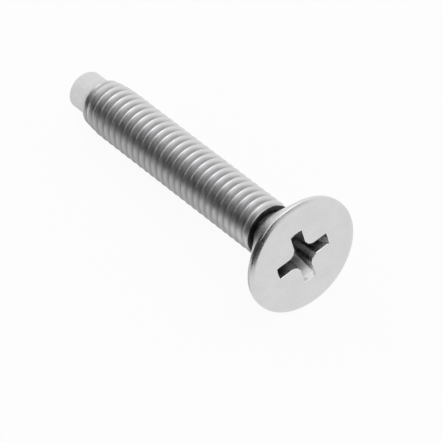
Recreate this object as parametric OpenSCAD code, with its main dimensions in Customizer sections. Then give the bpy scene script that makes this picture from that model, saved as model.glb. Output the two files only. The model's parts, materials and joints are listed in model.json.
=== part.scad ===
// Countersunk machine screw with a cross recess and a pressed-in nylon tip.
// Each piece is drawn upright, with the face of the head at height zero and the
// shank pointing down, and is then laid on its side as the screw comes to rest.

/* [Head] */
// Diameter of the flat head
head_d = 8.74; // [7.5:0.02:9.6]
// Width of the bevel between the face and the rim
face_bevel_w = 0.32; // [0.1:0.02:0.5]
// Height of that bevel
face_bevel_h = 0.15; // [0.08:0.01:0.3]
// Height of the straight rim under the bevel
rim_h = 0.25; // [0.1:0.01:0.4]
// Angle across the cone under the head
cone_angle = 86; // [82:1:96]

/* [Cross recess] */
// Width of the recess across opposite wings, at the face
recess_d = 4.3; // [3.8:0.05:4.8]
// Width across opposite wings at their foot
recess_foot_d = 2.29; // [2:0.01:2.6]
// Slope of the wing ends, from the axis
wing_end_angle = 26.5; // [24:0.5:30]
// Thickness of a wing at the face
wing_t = 0.92; // [0.8:0.02:1.1]
// Thickness of a wing at its foot
wing_foot_t = 0.7; // [0.6:0.02:0.78]
// Distance between opposite inner corners, at the face
corner_d = 1.86; // [1.7:0.02:2.2]
// Distance between opposite inner corners, at the foot
corner_foot_d = 1.47; // [1.3:0.01:1.6]
// Angle that each wing side turns through towards the inner corner
corner_turn = 28; // [22:1:34]
// Slope of the conical floor
floor_angle = 28; // [20:1:35]
// Turn of the recess about the axis
recess_turn = 12; // [0:1:90]

/* [Shank] */
// Length of the steel body, from the face of the head to its end
body_l = 23.34; // [20:0.01:30]
// Diameter of the plain neck under the cone
neck_d = 3.46; // [3.3:0.02:3.7]
// Depth below the face at which the thread starts
thread_from = 3.66; // [3.5:0.02:4.5]
// Length of the gentle taper before the end
taper_l = 1.5; // [0.8:0.1:2]
// Amount by which the taper narrows the radius
taper_drop = 0.13; // [0.06:0.01:0.16]
// Height of the bevel round the end
end_bevel_h = 0.22; // [0.12:0.02:0.3]
// Width of the bevel round the end
end_bevel_w = 0.15; // [0.1:0.01:0.16]
// Width of the bevel where the thread starts
start_bevel = 0.12; // [0.06:0.02:0.2]

/* [Thread] */
// Diameter over the crests
thread_d = 3.95; // [3.85:0.01:4.1]
// Distance from one crest to the next
pitch = 0.7; // [0.6:0.05:0.75]
// Depth from crest to root
thread_h = 0.42; // [0.34:0.01:0.44]
// Width of the flat left on the crest
crest_w = 0.09; // [0.06:0.01:0.12]
// Angle between the two flanks
flank_angle = 60; // [55:1:60]
// Number of turns in which the groove fades out below the head
fade_turns = 0.8; // [0.5:0.1:1.2]
// Turn of the whole thread about the axis
thread_turn = 114; // [0:1:360]
// Flat sides in one turn of the groove
turn_sides = 32; // [24:2:36]

/* [Nylon tip] */
// Diameter of the visible part of the tip
tip_d = 2.85; // [2.5:0.05:3]
// Length of the visible part of the tip
tip_l = 1.9; // [1:0.1:3]
// Bevel round the free end of the tip
tip_bevel = 0.12; // [0.04:0.02:0.3]
// Diameter of the bore that holds the stem of the tip
bore_d = 2; // [1.6:0.05:2.2]
// Depth of the straight part of the bore
bore_l = 3; // [2:0.1:5]
// Angle across the drilled point of the bore
drill_angle = 118; // [90:1:140]
// Gap all round between the stem and the bore
stem_gap = 0.01; // [0.005:0.005:0.03]
// Room left between the foot of the stem and the straight part's end
stem_room = 0.3; // [0.1:0.1:0.6]
// Bevel that leads the stem into the bore
stem_bevel = 0.15; // [0.05:0.05:0.3]

/* [Hidden] */
// Overlap that keeps a cutting shape clear of the surface it cuts through
cut = 0.5;
// Smoothness of the turned surfaces
$fn = 96;

head_r = head_d / 2;
neck_r = neck_d / 2;
thread_r = thread_d / 2;
rim_z = -face_bevel_h - rim_h;
cone_z = rim_z - (head_r - neck_r) / tan(cone_angle / 2);
bevel_z = -body_l + end_bevel_h;
taper_z = bevel_z + taper_l;
taper_r = thread_r - taper_drop;

// The screw lies on the lower edge of its rim and on the crests near its end,
// at whichever edge of the taper touches first
function rest_angle(r, z) = atan((head_r - r) / (rim_z - z));
lie_angle = min(rest_angle(thread_r, taper_z), rest_angle(taper_r, bevel_z));
lie_height = head_r * cos(lie_angle) - rim_z * sin(lie_angle);
head_reach = max((head_r - face_bevel_w) * sin(lie_angle),
    head_r * sin(lie_angle) - face_bevel_h * cos(lie_angle));
tip_reach = (body_l + tip_l) * cos(lie_angle) + (tip_d / 2 - tip_bevel) * sin(lie_angle);
lie_shift = (tip_reach - head_reach) / 2;

// Lays an upright piece on its side, head towards +X, centred over the origin
module lay() {
    translate([lie_shift, 0, lie_height])
        rotate([0, 90 - lie_angle, 0]) children();
}

// Head, neck and threaded length as turned, before the thread is cut. The join
// in the turned surface faces sideways, so that the screw doesn't lie on it.
module blank() {
    rotate([0, 0, 90]) rotate_extrude() polygon([
        [0, 0],
        [head_r - face_bevel_w, 0],
        [head_r, -face_bevel_h],
        [head_r, rim_z],
        [neck_r, cone_z],
        [neck_r, -thread_from],
        [thread_r - start_bevel, -thread_from],
        [thread_r, -thread_from - start_bevel],
        [thread_r, taper_z],
        [taper_r, bevel_z],
        [taper_r - end_bevel_w, -body_l],
        [0, -body_l]
    ]);
}

// Groove between the crests, swept down a right-hand helix
groove_half_w = (pitch - crest_w) / 2;
groove_over = 0.05;
groove_top_z = -thread_from - pitch * (0.5 - fade_turns);
groove_turns = (body_l + groove_top_z) / pitch + 1;
groove_steps = ceil(groove_turns * turn_sides);

// How far the groove has reached into the metal, from 0 at the head to 1
function groove_reach(i) = min(1, i / (fade_turns * turn_sides));

// Radius of the groove's floor, which rises out of the metal as it fades
function floor_r(i) = thread_r + groove_over / 2
    - (thread_h + groove_over / 2) * groove_reach(i);

// Half the groove's width at a given radius, for a given floor
function half_w(r, i) = groove_half_w - tan(flank_angle / 2) * (thread_r - r)
    - (1 - groove_reach(i)) * groove_half_w / 2;

function groove_ring(i) = let (
        a = thread_turn - 360 * i / turn_sides,
        z = groove_top_z - pitch * i / turn_sides,
        ri = floor_r(i),
        ro = thread_r + groove_over,
        wi = max(half_w(ri, i), crest_w / 2),
        wo = max(half_w(ro, i), wi)
    ) [
        [ri * cos(a), ri * sin(a), z - wi],
        [ro * cos(a), ro * sin(a), z - wo],
        [ro * cos(a), ro * sin(a), z + wo],
        [ri * cos(a), ri * sin(a), z + wi]
    ];

// Faces between two neighbouring four-point rings
function ring_faces(k) = [
    for (j = [0:3])
        let (n = (j + 1) % 4)
            each [[4 * k + j, 4 * k + 4 + n, 4 * k + n], [4 * k + j, 4 * k + 4 + j, 4 * k + 4 + n]]
];

module groove() {
    last = 4 * groove_steps;
    polyhedron(
        points = [for (i = [0:groove_steps]) each groove_ring(i)],
        faces = concat(
            [[0, 1, 2], [0, 2, 3]],
            [for (k = [0:groove_steps - 1]) each ring_faces(k)],
            [[last, last + 2, last + 1], [last, last + 3, last + 2]]
        ));
}

// Outline of the four wings for one level of the recess
function wing_outline(reach, t, across) = let (
        c = across / 2 * sin(45),
        bend = c + (c - t / 2) / tan(corner_turn)
    ) [
        for (q = [0:3])
            for (p = [[reach, -t / 2], [reach, t / 2], [bend, t / 2], [c, c], [t / 2, bend]])
                [p[0] * cos(90 * q) - p[1] * sin(90 * q), p[0] * sin(90 * q) + p[1] * cos(90 * q)]
    ];

recess_depth = (recess_d - recess_foot_d) / 2 / tan(wing_end_angle);
floor_depth = recess_depth + recess_foot_d / 2 * tan(floor_angle);

// Thickness carried on along the same draft to another depth
function drafted(top, foot, depth) = top + (foot - top) * depth / recess_depth;

// Four drafted wings, longer than the recess, which the cone then trims
module wings() {
    reach = recess_d / 2 + cut;
    levels = [-cut, floor_depth + cut];
    outlines = [
        for (h = levels)
            wing_outline(reach, drafted(wing_t, wing_foot_t, h), drafted(corner_d, corner_foot_d, h))
    ];
    n = len(outlines[0]);
    points = [
        for (k = [0, 1])
            for (p = outlines[k]) [p[0], p[1], -levels[k]]
    ];
    centres = [for (h = levels) [0, 0, -h]];
    polyhedron(points = concat(points, centres), faces = [
        for (i = [0:n - 1])
            let (j = (i + 1) % n)
                each [[2 * n, j, i], [i, j, n + j], [i, n + j, n + i], [n + i, n + j, 2 * n + 1]]
    ]);
}

// Cross recess with sloping wing ends and a conical floor
module recess() {
    rotate([0, 0, recess_turn]) intersection() {
        wings();
        rotate_extrude() polygon([
            [0, cut],
            [recess_d / 2 + cut * tan(wing_end_angle), cut],
            [recess_foot_d / 2, -recess_depth],
            [0, -floor_depth]
        ]);
    }
}

// Blind bore for the stem, with the point that a drill leaves
module bore() {
    rotate_extrude() polygon([
        [0, -body_l - cut],
        [bore_d / 2, -body_l - cut],
        [bore_d / 2, -body_l + bore_l],
        [0, -body_l + bore_l + bore_d / 2 / tan(drill_angle / 2)]
    ]);
}

module screw_body() {
    color("#c4c5c8") lay() difference() {
        blank();
        groove();
        recess();
        bore();
    }
}

// Plug whose shoulder seats on the end of the steel body
module nylon_tip() {
    stem_r = bore_d / 2 - stem_gap;
    stem_l = bore_l - stem_room;
    color("#dbdbdc") lay() rotate_extrude() polygon([
        [0, -body_l - tip_l],
        [tip_d / 2 - tip_bevel, -body_l - tip_l],
        [tip_d / 2, -body_l - tip_l + tip_bevel],
        [tip_d / 2, -body_l],
        [stem_r, -body_l],
        [stem_r, -body_l + stem_l - stem_bevel],
        [stem_r - stem_bevel, -body_l + stem_l],
        [0, -body_l + stem_l]
    ]);
}

screw_body();
nylon_tip();
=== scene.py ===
import json
import math

import bmesh
import bpy
from mathutils import Matrix, Vector


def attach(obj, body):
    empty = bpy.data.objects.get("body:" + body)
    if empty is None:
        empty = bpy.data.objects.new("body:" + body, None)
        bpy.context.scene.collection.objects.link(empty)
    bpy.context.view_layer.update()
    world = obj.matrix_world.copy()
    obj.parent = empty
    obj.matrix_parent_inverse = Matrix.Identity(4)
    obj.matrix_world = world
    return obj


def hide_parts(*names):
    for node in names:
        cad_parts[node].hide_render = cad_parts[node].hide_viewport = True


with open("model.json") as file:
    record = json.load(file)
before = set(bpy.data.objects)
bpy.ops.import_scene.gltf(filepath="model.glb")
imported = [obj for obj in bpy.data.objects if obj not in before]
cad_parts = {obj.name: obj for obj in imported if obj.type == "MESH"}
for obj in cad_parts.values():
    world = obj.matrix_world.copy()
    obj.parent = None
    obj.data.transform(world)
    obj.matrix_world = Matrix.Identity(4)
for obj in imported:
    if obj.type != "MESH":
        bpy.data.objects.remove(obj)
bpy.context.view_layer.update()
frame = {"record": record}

# Sizes in millimetres, along the screw's own axis: the face of the head is at
# height zero and the shank points down
MM = 0.001
HEAD_R = 4.37
FACE_BEVEL_W = 0.32
FACE_BEVEL_H = 0.15
RIM_H = 0.25
CONE_HALF_ANGLE = math.radians(43)
NECK_R = 1.55
NECK_L = 0.32
BODY_L = 23.34
START_BEVEL = 0.12
TAPER_L = 1.5
TAPER_DROP = 0.17
END_BEVEL_H = 0.32
END_BEVEL_W = 0.20

# Radii that round the edges of the head, from the face down to the neck
FACE_ROUND = 0.4
RIM_TOP_ROUND = 0.12
RIM_FOOT_ROUND = 0.04
CONE_FOOT_ROUND = 0.12

# Thread, with the widths over which its crest and its root are rounded
THREAD_R = 1.975
PITCH = 0.7
THREAD_H = 0.42
CREST_W = 0.15
CREST_SOFT = 0.24
ROOT_SOFT = 0.09
FLANK = math.radians(30)
FADE_TURNS = 0.8
THREAD_TURN = math.radians(27)

# Cross recess, with the radii that round a wing's end, the bend in its side,
# the inner corner and the lip
RECESS_R = 2.2
RECESS_FOOT_R = 1.145
WING_END_ANGLE = math.radians(26.5)
WING_T = 0.96
WING_FOOT_T = 0.70
CORNER_D = 1.86
CORNER_FOOT_D = 1.47
CORNER_TURN = math.radians(28)
FLOOR_ANGLE = math.radians(28)
RECESS_TURN = math.radians(12)
WING_END_ROUND = 0.11
WING_BEND_ROUND = 0.25
CORNER_ROUND = 0.16
LIP_R = 0.06

# Plastic tip and the bore that holds it
TIP_R = 1.425
TIP_L = 1.895
TIP_EDGE_R = 0.08
BORE_R = 1.0
BORE_L = 3.0
BORE_BEVEL = 0.05
DRILL_HALF_ANGLE = math.radians(59)
STEM_R = 0.99
STEM_L = 2.7
STEM_BEVEL = 0.15

# Heights and depths that follow from these sizes
RIM_Z = -FACE_BEVEL_H - RIM_H
CONE_Z = RIM_Z - (HEAD_R - NECK_R) / math.tan(CONE_HALF_ANGLE)
THREAD_Z = CONE_Z - NECK_L
BEVEL_Z = -BODY_L + END_BEVEL_H
TAPER_Z = BEVEL_Z + TAPER_L
GROOVE_HALF_W = (PITCH - CREST_W) / 2
GROOVE_TOP_Z = THREAD_Z - PITCH * (0.5 - FADE_TURNS)
CREST_DROP = CREST_SOFT / 4 * (1 - CREST_W / 2 / math.tan(FLANK) / CREST_SOFT) ** 2
RECESS_DEPTH = (RECESS_R - RECESS_FOOT_R) / math.tan(WING_END_ANGLE)
FLOOR_DEPTH = RECESS_DEPTH + RECESS_FOOT_R * math.tan(FLOOR_ANGLE)

# How finely the surfaces are divided. SUPPORT is the width of a flat strip beside
# a rounded edge, and MERGE, in metres, the distance at which points become one.
TURN_COLUMNS = 96
ARC_STEPS = 6
SUPPORT = 0.012
MERGE = 2e-7
SMOOTH_ANGLE = math.radians(38)
FACE_STRIP = 0.15

# Rows of the mesh in the thread's groove: shares of the rounded crest, a share of
# the groove's half width, and distances from the root and from the crest's edge
CREST_ROWS = (0.3, 0.6, 0.85)
FLANK_ROW = 0.36
ROOT_ROWS = (0.03, 0.015)
CREST_ROW = 0.02

# Where the head's skin ends in the neck, and the gap from there to the thread's
HEAD_SKIN_Z = CONE_Z - 0.11
SKIN_GAP = 0.04

# Divisions of the recess: along half a wing's outline, down the walls and out
# across the floor
WING_END_STEPS = 4
WING_SIDE_STEPS = 7
WING_BEND_STEPS = 3
WING_FLARE_STEPS = 4
CORNER_STEPS = 4
OUTLINE_LEVELS = 25
WALL_STEPS = 6
FLOOR_RADII = (0.0, 0.2, 0.45, 0.7, 0.95, RECESS_FOOT_R, 1.4, 1.65, 1.9)
HALVINGS = 30

# Attribute that tells the steel how deep in the thread's groove a point lies, for the
# painted shade there
GROOVE_DEPTH = "groove_depth"

# Steel: plated metal between two tones, with a painted highlight at the recess's lip
# and painted shade in the recess, in the neck and in the groove
STEEL_TONES = ((0.66, 0.66, 0.67, 1), (0.72, 0.72, 0.725, 1))
STEEL_ROUGHNESS = (0.24, 0.32)
THREAD_ROUGHER = 0.12
LIP_HIGHLIGHT_COLOUR = (0.95, 0.95, 0.95, 1)
# Painted shade in the recess, the neck and the groove: its colour and its strength in each
PAINTED_SHADE_COLOUR = (0.02, 0.02, 0.022, 1)
RECESS_SHADE = 0.45
NECK_SHADE = 0.95
GROOVE_SHADE = 0.3

# Limits between which these layers fade, in millimetres: radii round the axis,
# heights from the face, and depths in the groove
# Painted highlight near the recess's lip
LIP_HIGHLIGHT_RADII = (2.24, 2.3)
LIP_HIGHLIGHT_FOOT = (-0.45, -0.25)
LIP_HIGHLIGHT_TOP = (-0.003, -0.02)
# Painted shade in the recess and the neck
SHADE_RADII = (2.25, 2.3)
SHADE_TOP = (-0.4, -0.9)
SHADE_FOOT = (-3.0, -2.95)
NECK_SHADE_TOP = (CONE_Z, CONE_Z - 0.08)
NECK_SHADE_FOOT = (THREAD_Z - 0.11, THREAD_Z - 0.02)
ROUGHER_FROM = (CONE_Z, THREAD_Z)
# Painted shade in the groove
GROOVE_SHADE_DEPTHS = (0.1, 0.25)

# Nylon, also between two tones
NYLON_TONES = ((0.775, 0.775, 0.77, 1), (0.84, 0.84, 0.835, 1))
NYLON_ROUGHNESS = (0.42, 0.52)

# Part of a noise texture's range that a material uses
NOISE_RANGE = (0.3, 0.7)

# Studio, in metres: the floor, and how much of its white needs no light
FLOOR_SIZE = 1.6
FLOOR_COLOUR = (0.9, 0.9, 0.9, 1)
FLOOR_WHITE = 0.93
WHITE = (1, 1, 1, 1)
WORLD_LIGHT = 0.7
LAMP_SIZE = 0.3
LAMP_POWER = 0.29
LAMP_PLACE = (0.03, 0.05, 0.45)

# Boards round the screw that only mirrored rays see: the dark side of the studio,
# where the camera stands, and a grey board beyond the head
BOARD_DISTANCE = 0.15
BOARD_STEPS = 24
DARK_FROM = math.radians(-168)
DARK_TO = math.radians(0)
DARK_TOP = 0.115
DARK_FOOT = 0.03
DARK_LIFT = 0.0005
DARK_COLOUR = (0.02, 0.02, 0.02, 1)
GREY_FROM = math.radians(0)
GREY_TO = math.radians(40)
GREY_FOOT = 0.045
GREY_TOP = 0.09
GREY_COLOUR = (0.45, 0.45, 0.45, 1)

# Two flat sheets that only mirrored rays see too: a pale grey sheet of painted shade on
# the floor under the shank's near side, and a dark screen behind the camera
FLOOR_SHADE_LENGTH = 0.024
FLOOR_SHADE_WIDTH = 0.016
FLOOR_SHADE_CENTRE_X = -0.002
FLOOR_SHADE_EDGE_Y = -0.0015
FLOOR_SHADE_LIFT = 0.0003
FLOOR_SHADE_COLOUR = (0.85, 0.85, 0.85, 1)
SCREEN_SIZE = (0.30, 0.26)
SCREEN_DISTANCE = 0.34

# Camera, fitted to the outline of the head, shank and tip
CAMERA_AZIMUTH = math.radians(53.062)
CAMERA_ELEVATION = math.radians(43.092)
CAMERA_DISTANCE = 0.28359
FOCAL_PIXELS = 4246.0
IMAGE_WIDTH, IMAGE_HEIGHT = 442, 443
FACE_CENTRE_PIXEL = (302.96, 255.87)
SENSOR = 36.0
CLIP_START = 0.005


# Where the screw lies


def mount(name):
    return next(m for m in frame["record"]["mounts"] if m["name"] == name)


def lying_matrix():
    """Takes the upright screw, in millimetres, to where it lies in the frame."""
    axis = Vector(mount("cross_recess")["axis"]).normalized()
    side = Vector((0, 1, 0))
    under = side.cross(axis)
    turn = Matrix((under, side, axis)).transposed().to_4x4()
    centre = Vector(mount("cross_recess")["pos_m"])
    return Matrix.Translation(centre) @ turn @ Matrix.Scale(MM, 4)


# Outlines and surfaces


def lerp(a, b, t):
    return a + (b - a) * t


def smooth_min(a, b, k):
    h = max(k - abs(a - b), 0) / k
    return min(a, b) - h * h * k / 4


def smooth_max(a, b, k):
    return -smooth_min(-a, -b, k)


def circle(radius, z, angles):
    return [(radius * math.cos(a), radius * math.sin(a), z) for a in angles]


def column_angle(i):
    """Angle about the screw's axis of one of the mesh's columns."""
    return 2 * math.pi * i / TURN_COLUMNS


def all_round():
    return [column_angle(i) for i in range(TURN_COLUMNS)]


def fillet(before, corner, after, radius, steps):
    """Points of the arc that rounds a corner of a flat outline."""
    c = Vector(corner)
    u = (Vector(before) - c).normalized()
    v = (Vector(after) - c).normalized()
    half = math.acos(max(-1, min(1, u.dot(v)))) / 2
    reach = radius / math.tan(half)
    middle = c + (u + v).normalized() * radius / math.sin(half)
    start = c + u * reach - middle
    end = c + v * reach - middle
    sweep = math.atan2(start.x * end.y - start.y * end.x, start.dot(end))
    return [
        middle + Matrix.Rotation(sweep * i / steps, 2) @ start
        for i in range(steps + 1)
    ]


def rounded_line(corners):
    """An open outline of (radius, height, rounding) corners, as points."""
    points = [Vector(corners[0][:2])]
    for before, here, after in zip(corners, corners[1:], corners[2:]):
        if here[2]:
            points += fillet(before[:2], here[:2], after[:2], here[2], ARC_STEPS)
        else:
            points.append(Vector(here[:2]))
    points.append(Vector(corners[-1][:2]))
    return points


def turn_of(ring, i):
    """Angle of a point of a sorted ring, counted on past a full turn."""
    co = ring[i % len(ring)].co
    return math.atan2(co.y, co.x) + 2 * math.pi * (i // len(ring))


class Surface:
    """A mesh put together from rings of points, in upright millimetres."""

    def __init__(self):
        self.bm = bmesh.new()
        self.depth = self.bm.verts.layers.float.new(GROOVE_DEPTH)

    def ring(self, points, depths=()):
        """One point for each place, and its depth in the groove where given."""
        verts = [self.bm.verts.new(p) for p in points]
        for v, depth in zip(verts, depths):
            v[self.depth] = depth
        return verts

    def face(self, corners):
        unique = list(dict.fromkeys(corners))
        if len(unique) > 2:
            self.bm.faces.new(unique)

    def loft(self, rings):
        """Quads from each closed ring to the next, all of the same length."""
        for a, b in zip(rings, rings[1:]):
            n = len(a)
            for i in range(n):
                j = (i + 1) % n
                self.face((a[i], a[j], b[j], b[i]))

    def stitch(self, a, b):
        """Triangles between two closed rings that start at any angle."""
        def by_angle(ring):
            return sorted(ring, key=lambda v: math.atan2(v.co.y, v.co.x))
        a, b = by_angle(a), by_angle(b)
        i = j = 0
        while i < len(a) or j < len(b):
            next_a = turn_of(a, i + 1)
            next_b = turn_of(b, j + 1)
            if j >= len(b) or (i < len(a) and next_a <= next_b):
                self.face((a[i % len(a)], a[(i + 1) % len(a)], b[j % len(b)]))
                i += 1
            else:
                self.face((a[i % len(a)], b[(j + 1) % len(b)], b[j % len(b)]))
                j += 1

    def finish(self, name):
        """Lays the surface down in the frame and makes it an object."""
        bm = self.bm
        bm.transform(lying_matrix())
        bmesh.ops.remove_doubles(bm, verts=bm.verts, dist=MERGE)
        bmesh.ops.dissolve_degenerate(bm, edges=bm.edges, dist=MERGE)
        bmesh.ops.recalc_face_normals(bm, faces=bm.faces)
        for f in bm.faces:
            f.smooth = True
        for e in bm.edges:
            e.smooth = not e.is_manifold or e.calc_face_angle(0) < SMOOTH_ANGLE
        mesh = bpy.data.meshes.new(name)
        bm.to_mesh(mesh)
        bm.free()
        obj = bpy.data.objects.new(name, mesh)
        bpy.context.scene.collection.objects.link(obj)
        return obj


# Cross recess


def drafted(top, foot, depth):
    return lerp(top, foot, depth / RECESS_DEPTH)


def wing_half(depth):
    """Outline from the middle of a wing's end to the next inner corner."""
    half_t = drafted(WING_T, WING_FOOT_T, depth) / 2
    c = drafted(CORNER_D, CORNER_FOOT_D, depth) / 2 * math.sin(math.radians(45))
    bend_x = c + (c - half_t) / math.tan(CORNER_TURN)
    end_x = math.sqrt(RECESS_R ** 2 - (WING_T / 2) ** 2)
    end, bend, corner, next_bend = (end_x, half_t), (bend_x, half_t), (c, c), (half_t, bend_x)
    end_arc = fillet((RECESS_R, 0), end, bend, WING_END_ROUND, WING_END_STEPS)
    bend_arc = fillet(end, bend, corner, WING_BEND_ROUND, WING_BEND_STEPS)
    corner_arc = fillet(bend, corner, next_bend, CORNER_ROUND, CORNER_STEPS)
    half_corner = corner_arc[:CORNER_STEPS // 2 + 1]
    first = math.atan2(end_arc[0].y, end_arc[0].x)
    tip_angles = [first * i / WING_END_STEPS for i in range(WING_END_STEPS)]
    points = [Vector((math.cos(a), math.sin(a))) * end_arc[0].length for a in tip_angles]
    stretches = ((end_arc, bend_arc, WING_SIDE_STEPS), (bend_arc, half_corner, WING_FLARE_STEPS))
    for a, b, steps in stretches:
        points += a
        points += [a[-1].lerp(b[0], i / steps) for i in range(1, steps)]
    return points + half_corner


def wing_outline(depth):
    """Closed outline of all four wings at a depth, counter-clockwise."""
    half = wing_half(depth)
    mirrored = [Vector((p.y, p.x)) for p in half[-2:0:-1]]
    quarter = half + mirrored
    return [
        Matrix.Rotation(math.radians(90) * q + RECESS_TURN, 2) @ p
        for q in range(4)
        for p in quarter
    ]


def floor_at(radius):
    """Depth of the sloping wing ends and the conical floor at a radius."""
    return min((RECESS_R - radius) / math.tan(WING_END_ANGLE),
               FLOOR_DEPTH - radius * math.tan(FLOOR_ANGLE))


def wall_foot(outlines, depths, i):
    """Where a column of the wall meets the floor: its point and its depth."""
    for k in range(len(depths) - 1):
        a, b = outlines[k][i], outlines[k + 1][i]
        if floor_at(b.length) > depths[k + 1]:
            continue
        low, high = 0.0, 1.0
        for _ in range(HALVINGS):
            t = (low + high) / 2
            d = lerp(depths[k], depths[k + 1], t)
            if floor_at(a.lerp(b, t).length) > d:
                low = t
            else:
                high = t
        return a.lerp(b, low), lerp(depths[k], depths[k + 1], low)
    return outlines[-1][i], depths[-1]


def floor_rings(surface, feet):
    """Rings from the middle of the recess's floor out to the foot of the wall."""
    rings = []
    for r in FLOOR_RADII:
        points = []
        for foot, depth in feet:
            reach = min(r, foot.length)
            p = foot.normalized() * reach
            z = -floor_at(reach) if reach < foot.length else -depth
            points.append((p.x, p.y, z))
        rings.append(surface.ring(points))
    return rings


def wall_rings(surface, feet, lip_foot):
    """Rings from the foot of the wall up to where the lip begins to round."""
    rings = []
    for k in range(WALL_STEPS + 1):
        t = k / WALL_STEPS
        points = []
        for (foot, depth), top in zip(feet, lip_foot):
            p = foot.lerp(top, t)
            points.append((p.x, p.y, -lerp(depth, LIP_R, t)))
        rings.append(surface.ring(points))
    return rings


def lip_rings(surface, lip_foot, edge):
    """Rings over the rounded lip and on to a narrow strip of the face. Also
    returns the angles of the last ring's points."""
    outward = []
    for before, after in zip(edge[-1:] + edge[:-1], edge[1:] + edge[:1]):
        along = after - before
        outward.append(Vector((along.y, -along.x)).normalized())
    rings = []
    for k in range(1, ARC_STEPS + 1):
        a = math.radians(90) * k / ARC_STEPS
        points = []
        for inner, top, out in zip(lip_foot, edge, outward):
            p = inner.lerp(top + out * LIP_R, 1 - math.cos(a))
            points.append((p.x, p.y, -LIP_R * (1 - math.sin(a))))
        rings.append(surface.ring(points))
    strip = [top + out * (LIP_R + SUPPORT) for top, out in zip(edge, outward)]
    rings.append(surface.ring([(p.x, p.y, 0) for p in strip]))
    return rings, [math.atan2(p.y, p.x) for p in strip]


def recess_rings(surface):
    """Floor, walls and lip of the recess, from the middle of the floor out to
    the face, and the angles of the last ring's points."""
    depths = [lerp(LIP_R, FLOOR_DEPTH, i / (OUTLINE_LEVELS - 1)) for i in range(OUTLINE_LEVELS)]
    outlines = [wing_outline(d) for d in depths]
    limit = RECESS_R - LIP_R * math.tan(WING_END_ANGLE)
    outlines[0] = [p * min(1, limit / p.length) for p in outlines[0]]
    feet = [wall_foot(outlines, depths, i) for i in range(len(outlines[0]))]
    inside = floor_rings(surface, feet) + wall_rings(surface, feet, outlines[0])
    lip, angles = lip_rings(surface, outlines[0], wing_outline(0))
    return inside + lip, angles


# Thread


def blank_radius(z):
    """Radius of the turned shank before the thread is rolled."""
    if z > THREAD_Z:
        return NECK_R
    if z > THREAD_Z - START_BEVEL:
        return THREAD_R - START_BEVEL - (z - THREAD_Z)
    if z > TAPER_Z:
        return THREAD_R
    if z > BEVEL_Z:
        return THREAD_R - TAPER_DROP * (TAPER_Z - z) / TAPER_L
    return THREAD_R - TAPER_DROP - END_BEVEL_W * (BEVEL_Z - z) / END_BEVEL_H


def groove_line(angle):
    """Height of the middle of the groove at an angle, in its first turn."""
    return GROOVE_TOP_Z - PITCH * (THREAD_TURN - angle) / (2 * math.pi)


def thread_radius(angle, z):
    """Radius of the finished screw at an angle and a height."""
    line_z = groove_line(angle)
    centre = line_z - round((line_z - z) / PITCH) * PITCH
    run = (GROOVE_TOP_Z - centre) / PITCH
    if run <= 0:
        return blank_radius(z)
    reach = min(1, run / FADE_TURNS)
    half_w = GROOVE_HALF_W * (1 + reach) / 2
    flank = (half_w - abs(z - centre)) / math.tan(FLANK)
    depth = smooth_max(0, smooth_min(flank, THREAD_H * reach, ROOT_SOFT), CREST_SOFT)
    return min(blank_radius(z), THREAD_R + CREST_DROP - depth)


def row_offsets():
    """Heights of the mesh rows within one pitch, from the crest down."""
    edge = GROOVE_HALF_W
    root = edge - THREAD_H * math.tan(FLANK)
    soft = CREST_SOFT * math.tan(FLANK)
    half = [PITCH / 2, edge + CREST_ROW, edge]
    half += [edge - share * soft for share in CREST_ROWS]
    half += [FLANK_ROW * edge]
    half += [root + distance for distance in ROOT_ROWS]
    half += [root, root / 2]
    return half + [0] + [-h for h in half[:0:-1]]


def snapped(z, spacing):
    """Moves a row onto the nearby height of an edge of the blank."""
    for edge in (THREAD_Z, THREAD_Z - START_BEVEL, TAPER_Z, BEVEL_Z):
        if abs(z - edge) < spacing / 2:
            return edge
    return z


def thread_column(angle, offsets, top_z):
    """One column of the thread's skin: its points, and how deep each lies."""
    points = []
    depths = []
    turns = math.ceil(BODY_L / PITCH) + 2
    for turn in range(-2, turns):
        for here, below in zip(offsets, offsets[1:] + [-PITCH / 2]):
            z = snapped(groove_line(angle) - turn * PITCH + here, here - below)
            z = max(-BODY_L, min(top_z, z))
            r = thread_radius(angle, z)
            points.append((r * math.cos(angle), r * math.sin(angle), z))
            depths.append(blank_radius(z) - r)
    return points, depths


def thread_rings(surface, top_z):
    """Helical rows from the neck to the end. Returns the first and last ring.
    After a full turn each row meets the row one pitch further down."""
    offsets = row_offsets()
    columns = [surface.ring(*thread_column(a, offsets, top_z)) for a in all_round()]
    rows = len(columns[0])
    for i, left in enumerate(columns):
        last = i == TURN_COLUMNS - 1
        right = columns[0] if last else columns[i + 1]
        shift = len(offsets) if last else 0
        for row in range(shift, rows - 1):
            other = row - shift
            corners = (left[row], left[row + 1], right[other + 1], right[other])
            if len({round(v.co.z, 6) for v in corners}) > 1:
                surface.face(corners)
    return [column[0] for column in columns], [column[-1] for column in columns]


# Pieces


def head_rings(surface, angles):
    """Rings from the face over the rim and down the cone into the neck."""
    line = rounded_line([
        (HEAD_R - FACE_BEVEL_W - FACE_STRIP, 0, 0),
        (HEAD_R - FACE_BEVEL_W, 0, FACE_ROUND),
        (HEAD_R, -FACE_BEVEL_H, RIM_TOP_ROUND),
        (HEAD_R, RIM_Z, RIM_FOOT_ROUND),
        (NECK_R, CONE_Z, CONE_FOOT_ROUND),
        (NECK_R, HEAD_SKIN_Z, 0),
    ])
    return [surface.ring(circle(p.x, p.y, angles)) for p in line]


def bore_rings(surface):
    """Rings from the bore's mouth in to the point that a drill leaves."""
    line = [
        (BORE_R + BORE_BEVEL, -BODY_L),
        (BORE_R, -BODY_L + BORE_BEVEL),
        (BORE_R, -BODY_L + BORE_L),
        (0.0, -BODY_L + BORE_L + BORE_R / math.tan(DRILL_HALF_ANGLE)),
    ]
    return [surface.ring(circle(r, z, all_round())) for r, z in line]


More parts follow.
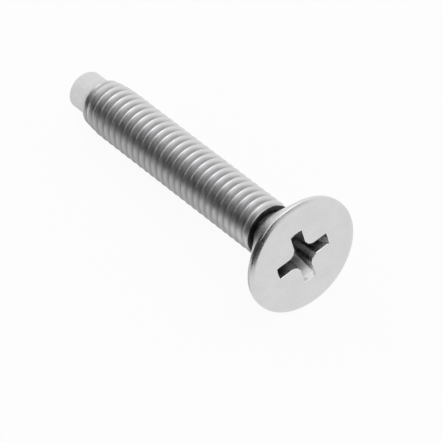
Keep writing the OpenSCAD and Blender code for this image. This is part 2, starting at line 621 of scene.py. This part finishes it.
def screw_body():
    """The steel screw in one closed skin, from the recess down to the bore."""
    surface = Surface()
    recess, angles = recess_rings(surface)
    head = recess + head_rings(surface, angles)
    surface.loft(head)
    first, end = thread_rings(surface, HEAD_SKIN_Z - SKIN_GAP)
    surface.stitch(head[-1], first)
    surface.loft([end] + bore_rings(surface))
    return surface.finish("steel_screw")


def nylon_tip():
    """The plastic plug: its rounded end, shoulder and hidden stem."""
    surface = Surface()
    foot = -BODY_L - TIP_L
    line = rounded_line([
        (0.0, foot, 0),
        (TIP_R - TIP_EDGE_R - SUPPORT, foot, 0),
        (TIP_R, foot, TIP_EDGE_R),
        (TIP_R, -BODY_L, 0),
        (STEM_R, -BODY_L, 0),
        (STEM_R, -BODY_L + STEM_L - STEM_BEVEL, 0),
        (STEM_R - STEM_BEVEL, -BODY_L + STEM_L, 0),
        (0.0, -BODY_L + STEM_L, 0),
    ])
    surface.loft([surface.ring(circle(p.x, p.y, all_round())) for p in line])
    return surface.finish("tip_plug")


# Materials


class Nodes:
    """Short helpers for a node tree."""

    def __init__(self, tree):
        self.tree = tree

    def add(self, kind, **inputs):
        node = self.tree.nodes.new(kind)
        for name, value in inputs.items():
            node.inputs[name.replace("_", " ")].default_value = value
        return node

    def link(self, out, into):
        self.tree.links.new(out, into)

    def find(self, kind):
        return next(n for n in self.tree.nodes if n.type == kind)


def new_material(name):
    mat = bpy.data.materials.new(name)
    mat.use_nodes = True
    nodes = Nodes(mat.node_tree)
    return mat, nodes, nodes.find("BSDF_PRINCIPLED")


def metres(limits):
    return [limit * MM for limit in limits]


def spread(nodes, source, limits, low, high):
    """Takes the range between two limits over to the range from low to high."""
    node = nodes.add("ShaderNodeMapRange", From_Min=limits[0], From_Max=limits[1],
                     To_Min=low, To_Max=high)
    nodes.link(source, node.inputs["Value"])
    return node.outputs["Result"]


def combine(nodes, operation, first, *others):
    for other in others:
        node = nodes.add("ShaderNodeMath")
        node.operation = operation
        nodes.link(first, node.inputs[0])
        nodes.link(other, node.inputs[1])
        first = node.outputs[0]
    return first


def blend(nodes, share, under, over):
    """Mixes two colours, the first of them a colour or another node's output."""
    node = nodes.add("ShaderNodeMix")
    node.data_type = "RGBA"
    node.inputs["B"].default_value = over
    nodes.link(share, node.inputs["Factor"])
    if isinstance(under, tuple):
        node.inputs["A"].default_value = under
    else:
        nodes.link(under, node.inputs["A"])
    return node.outputs["Result"]


def noise(nodes, coords, scale, detail, roughness):
    node = nodes.add("ShaderNodeTexNoise", Scale=scale, Detail=detail, Roughness=roughness)
    nodes.link(coords, node.inputs["Vector"])
    return node.outputs["Fac"]


def add_bump(nodes, shader, height, strength, distance):
    bump = nodes.add("ShaderNodeBump", Strength=strength, Distance=distance)
    nodes.link(height, bump.inputs["Height"])
    nodes.link(bump.outputs["Normal"], shader.inputs["Normal"])


def vector_math(nodes, operation, *inputs):
    """Vector arithmetic on constants and on other nodes' outputs."""
    node = nodes.add("ShaderNodeVectorMath")
    node.operation = operation
    for socket, value in zip(node.inputs, inputs):
        if isinstance(value, tuple):
            socket.default_value = value
        else:
            nodes.link(value, socket)
    return node.outputs


def height_and_radius(nodes, coords):
    """Height above the face and distance from the screw's axis, in metres."""
    place = lying_matrix()
    axis = tuple((place.to_3x3() @ Vector((0, 0, 1))).normalized())
    out = vector_math(nodes, "SUBTRACT", coords, tuple(place.translation))["Vector"]
    height = vector_math(nodes, "DOT_PRODUCT", out, axis)["Value"]
    across = vector_math(nodes, "CROSS_PRODUCT", out, axis)["Vector"]
    return height, vector_math(nodes, "LENGTH", across)["Value"]


def painted_lip_highlight(nodes, height, radius):
    """Share of the painted highlight, a brighter colour near the recess's lip."""
    inside = spread(nodes, radius, metres(LIP_HIGHLIGHT_RADII), 1.0, 0.0)
    above = spread(nodes, height, metres(LIP_HIGHLIGHT_FOOT), 0.0, 1.0)
    below = spread(nodes, height, metres(LIP_HIGHLIGHT_TOP), 0.0, 1.0)
    return combine(nodes, "MULTIPLY", inside, above, below)


def painted_shade(nodes, height, radius):
    """Share of the painted shade, a dark colour in the recess, the neck and the groove."""
    deep = spread(nodes, height, metres(SHADE_TOP), 0.0, RECESS_SHADE)
    inside = spread(nodes, radius, metres(SHADE_RADII), 1.0, 0.0)
    above = spread(nodes, height, metres(SHADE_FOOT), 0.0, 1.0)
    recess = combine(nodes, "MULTIPLY", deep, inside, above)
    below_cone = spread(nodes, height, metres(NECK_SHADE_TOP), 0.0, NECK_SHADE)
    above_thread = spread(nodes, height, metres(NECK_SHADE_FOOT), 0.0, 1.0)
    neck = combine(nodes, "MULTIPLY", below_cone, above_thread)
    depth = nodes.add("ShaderNodeAttribute")
    depth.attribute_name = GROOVE_DEPTH
    groove = spread(nodes, depth.outputs["Fac"], GROOVE_SHADE_DEPTHS, 0.0, GROOVE_SHADE)
    return combine(nodes, "MAXIMUM", recess, neck, groove)


def steel_material():
    mat, nodes, shader = new_material("plated_steel")
    coords = nodes.add("ShaderNodeTexCoord").outputs["Object"]
    height, radius = height_and_radius(nodes, coords)
    grain = noise(nodes, coords, scale=5200.0, detail=3.0, roughness=0.6)
    blotch = noise(nodes, coords, scale=900.0, detail=4.0, roughness=0.55)
    colour = blend(nodes, spread(nodes, blotch, NOISE_RANGE, 0.0, 1.0), *STEEL_TONES)
    # Painted highlight: a brighter colour near the recess's lip
    colour = blend(nodes, painted_lip_highlight(nodes, height, radius), colour, LIP_HIGHLIGHT_COLOUR)
    # Painted shade: a dark colour in the recess, the neck and the groove
    colour = blend(nodes, painted_shade(nodes, height, radius), colour, PAINTED_SHADE_COLOUR)
    nodes.link(colour, shader.inputs["Base Color"])
    fine = spread(nodes, blotch, NOISE_RANGE, *STEEL_ROUGHNESS)
    on_thread = spread(nodes, height, metres(ROUGHER_FROM), 0.0, THREAD_ROUGHER)
    nodes.link(combine(nodes, "ADD", fine, on_thread), shader.inputs["Roughness"])
    shader.inputs["Metallic"].default_value = 1.0
    add_bump(nodes, shader, grain, strength=0.25, distance=0.000012)
    return mat


def nylon_material():
    mat, nodes, shader = new_material("natural_nylon")
    coords = nodes.add("ShaderNodeTexCoord").outputs["Object"]
    grain = noise(nodes, coords, scale=3000.0, detail=3.0, roughness=0.5)
    colour = blend(nodes, spread(nodes, grain, NOISE_RANGE, 0.0, 1.0), *NYLON_TONES)
    nodes.link(colour, shader.inputs["Base Color"])
    nodes.link(spread(nodes, grain, NOISE_RANGE, *NYLON_ROUGHNESS), shader.inputs["Roughness"])
    add_bump(nodes, shader, grain, strength=0.3, distance=0.00001)
    return mat


def matt_material(name, colour):
    """A plain matt surface that mirrors nothing."""
    mat, nodes, shader = new_material(name)
    shader.inputs["Base Color"].default_value = colour
    shader.inputs["Roughness"].default_value = 1.0
    shader.inputs["Specular IOR Level"].default_value = 0.0
    return mat, nodes, shader


# Studio


def stage_object(name, points, faces, material):
    mesh = bpy.data.meshes.new(name)
    mesh.from_pydata(points, [], faces)
    mesh.materials.append(material)
    obj = bpy.data.objects.new(name, mesh)
    bpy.context.scene.collection.objects.link(obj)
    return obj


def plane(name, size, material):
    w, d = size[0] / 2, size[1] / 2
    return stage_object(name, [(-w, -d, 0), (w, -d, 0), (w, d, 0), (-w, d, 0)],
                        [(0, 1, 2, 3)], material)


def only_mirrored(obj):
    obj.visible_camera = False
    obj.visible_diffuse = False
    obj.visible_shadow = False


def board(name, start, stop, profile, material):
    """A curved board round the screw, from (distance, height) pairs."""
    turns = [lerp(start, stop, i / BOARD_STEPS) for i in range(BOARD_STEPS + 1)]
    points = [p for distance, height in profile for p in circle(distance, height, turns)]
    count = len(turns)
    faces = [
        (k * count + i, k * count + i + 1, (k + 1) * count + i + 1, (k + 1) * count + i)
        for k in range(len(profile) - 1)
        for i in range(count - 1)
    ]
    only_mirrored(stage_object(name, points, faces, material))


def seen_or_mirrored(nodes):
    """1 for rays from the camera and for mirrored or refracted ones."""
    rays = nodes.add("ShaderNodeLightPath").outputs
    return combine(nodes, "MAXIMUM", rays["Is Camera Ray"], rays["Is Glossy Ray"],
                   rays["Is Transmission Ray"])


def mix_shaders(nodes, share, first, second, output):
    mix = nodes.add("ShaderNodeMixShader")
    nodes.link(share, mix.inputs["Fac"])
    nodes.link(first.outputs[0], mix.inputs[1])
    nodes.link(second.outputs[0], mix.inputs[2])
    nodes.link(mix.outputs[0], output.inputs["Surface"])


def make_floor():
    """A floor that is white where it is seen or mirrored, with a soft shadow."""
    mat, nodes, shader = matt_material("pale_floor", FLOOR_COLOUR)
    white = nodes.add("ShaderNodeEmission", Color=WHITE, Strength=1.0)
    share = spread(nodes, seen_or_mirrored(nodes), (0.0, 1.0), 0.0, FLOOR_WHITE)
    mix_shaders(nodes, share, shader, white, nodes.find("OUTPUT_MATERIAL"))
    plane("floor", (FLOOR_SIZE, FLOOR_SIZE), mat)


def make_boards():
    black = matt_material("black_board", DARK_COLOUR)[0]
    board("dark_side", DARK_FROM, DARK_TO,
          [(DARK_FOOT, DARK_LIFT), (BOARD_DISTANCE, DARK_LIFT), (BOARD_DISTANCE, DARK_TOP)], black)
    board("grey_side", GREY_FROM, GREY_TO, [(BOARD_DISTANCE, GREY_FOOT), (BOARD_DISTANCE, GREY_TOP)],
          matt_material("grey_board", GREY_COLOUR)[0])
    # A pale grey sheet of painted shade beside the shank, which only reflections show
    floor_shade_sheet = plane("floor_shade_sheet", (FLOOR_SHADE_LENGTH, FLOOR_SHADE_WIDTH), matt_material("floor_shade_grey", FLOOR_SHADE_COLOUR)[0])
    floor_shade_sheet.location = (FLOOR_SHADE_CENTRE_X, FLOOR_SHADE_EDGE_Y - FLOOR_SHADE_WIDTH / 2, FLOOR_SHADE_LIFT)
    back = camera_axes()[2]
    screen = plane("dark_screen", SCREEN_SIZE, black)
    screen.location = back * SCREEN_DISTANCE
    screen.rotation_euler = back.to_track_quat("Z", "Y").to_euler()
    only_mirrored(floor_shade_sheet)
    only_mirrored(screen)


def make_world():
    """White where it is seen or mirrored, softer where it only lights."""
    world = bpy.data.worlds.new("studio")
    world.use_nodes = True
    bpy.context.scene.world = world
    world.node_tree.nodes.clear()
    nodes = Nodes(world.node_tree)
    light = nodes.add("ShaderNodeBackground", Color=WHITE, Strength=WORLD_LIGHT)
    white = nodes.add("ShaderNodeBackground", Color=WHITE, Strength=1.0)
    output = nodes.add("ShaderNodeOutputWorld")
    mix_shaders(nodes, seen_or_mirrored(nodes), light, white, output)


def make_lamp():
    """A large soft lamp above the screw, aimed at it."""
    lamp = bpy.data.lights.new("softbox", "AREA")
    lamp.shape = "SQUARE"
    lamp.size = LAMP_SIZE
    lamp.energy = LAMP_POWER
    obj = bpy.data.objects.new("softbox", lamp)
    obj.location = LAMP_PLACE
    obj.rotation_euler = (-Vector(LAMP_PLACE)).to_track_quat("-Z", "Y").to_euler()
    bpy.context.scene.collection.objects.link(obj)


def camera_axes():
    """Right, up and back directions of the camera."""
    a, e = CAMERA_AZIMUTH, CAMERA_ELEVATION
    back = Vector((math.sin(a) * math.cos(e), -math.cos(a) * math.cos(e), math.sin(e)))
    right = Vector((math.cos(a), math.sin(a), 0))
    return right, back.cross(right), back


def make_camera():
    """Places the camera so that the middle of the face falls on its pixel."""
    right, up, back = camera_axes()
    dx = (FACE_CENTRE_PIXEL[0] - (IMAGE_WIDTH - 1) / 2) / FOCAL_PIXELS
    dy = (FACE_CENTRE_PIXEL[1] - (IMAGE_HEIGHT - 1) / 2) / FOCAL_PIXELS
    target = Vector(mount("cross_recess")["pos_m"])
    place = target - (right * dx - up * dy - back) * CAMERA_DISTANCE
    turn = Matrix((right, up, back)).transposed().to_4x4()
    data = bpy.data.cameras.new("camera")
    data.sensor_width = SENSOR
    data.lens = FOCAL_PIXELS / max(IMAGE_WIDTH, IMAGE_HEIGHT) * SENSOR
    data.clip_start = CLIP_START
    camera = bpy.data.objects.new("camera", data)
    camera.matrix_world = Matrix.Translation(place) @ turn
    bpy.context.scene.collection.objects.link(camera)
    bpy.context.scene.camera = camera


def dress(piece, node, material):
    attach(piece, "root")
    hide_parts(node)
    piece.data.materials.append(material)


make_camera()
dress(screw_body(), "screw_body", steel_material())
dress(nylon_tip(), "nylon_tip", nylon_material())
make_floor()
make_boards()
make_world()
make_lamp()
bpy.context.scene.view_settings.view_transform = "Standard"
